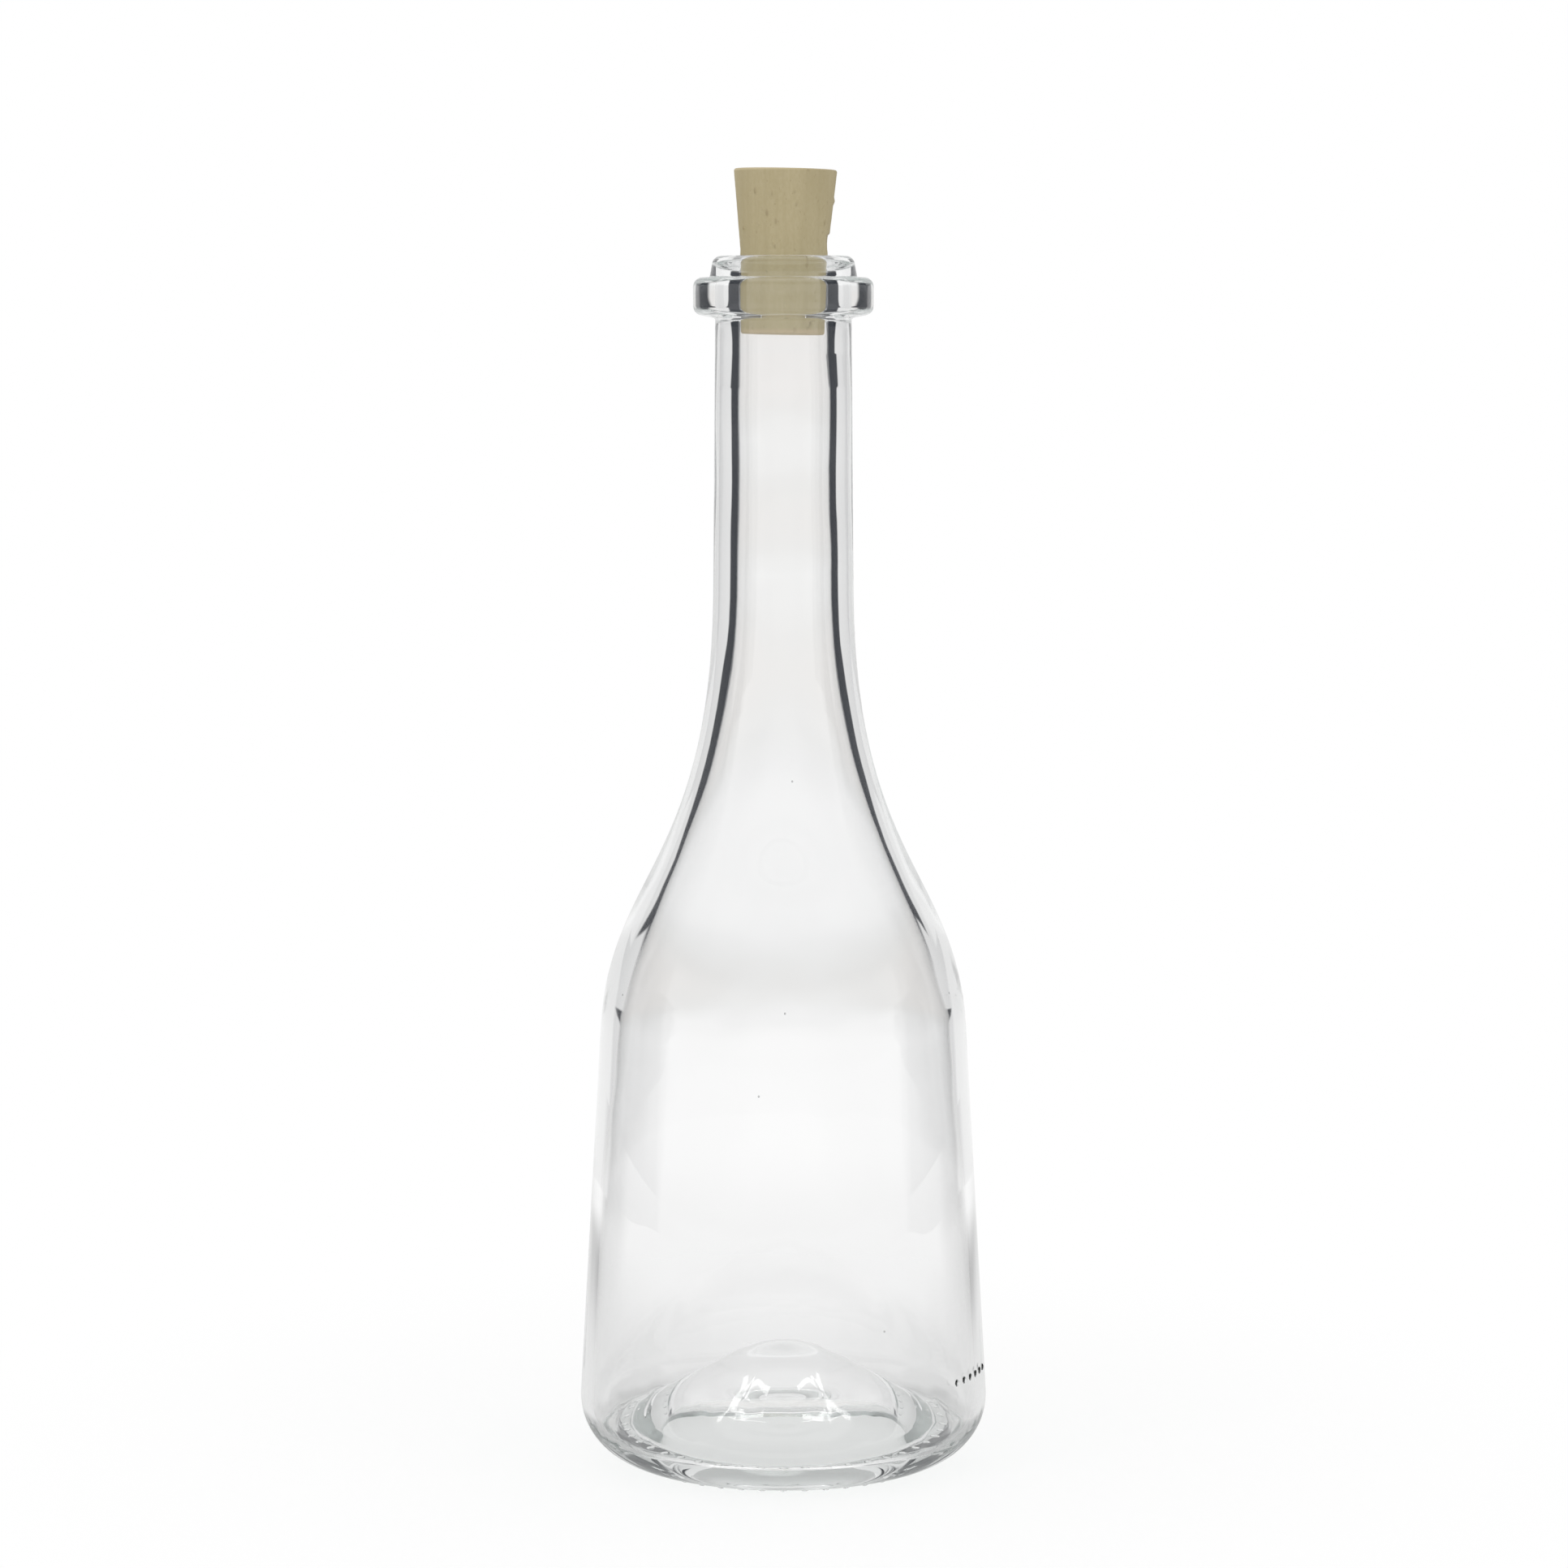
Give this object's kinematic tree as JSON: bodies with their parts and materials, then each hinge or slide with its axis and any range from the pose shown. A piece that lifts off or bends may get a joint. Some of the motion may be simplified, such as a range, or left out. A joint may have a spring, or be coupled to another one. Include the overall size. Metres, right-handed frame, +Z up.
{
  "type": "glass bottle",
  "caption": "Clear glass bottle with a long neck, collared cork mouth and pushed-up base, closed by a tapered natural cork that pulls out.",
  "frame": {"origin": "centre of the base, on the surface that the bottle stands on", "axes": "+Z up through the neck and the cork; -Y towards the side seen from the front, with the row of heel dots to its right"},
  "size_m": [0.0856, 0.0856, 0.2704],
  "materials": {
    "glass": "gloss",
    "cork": "matte"
  },
  "bodies": {
    "bottle": {"glass_bottle": "glass"},
    "stopper": {"cork_stopper": "cork"}
  },
  "joints": [
    {"name": "cork_pull", "type": "slide", "parent": "bottle", "child": "stopper", "axis": [0, 0, 1], "range_m": [0, 0.025]}
  ]
}
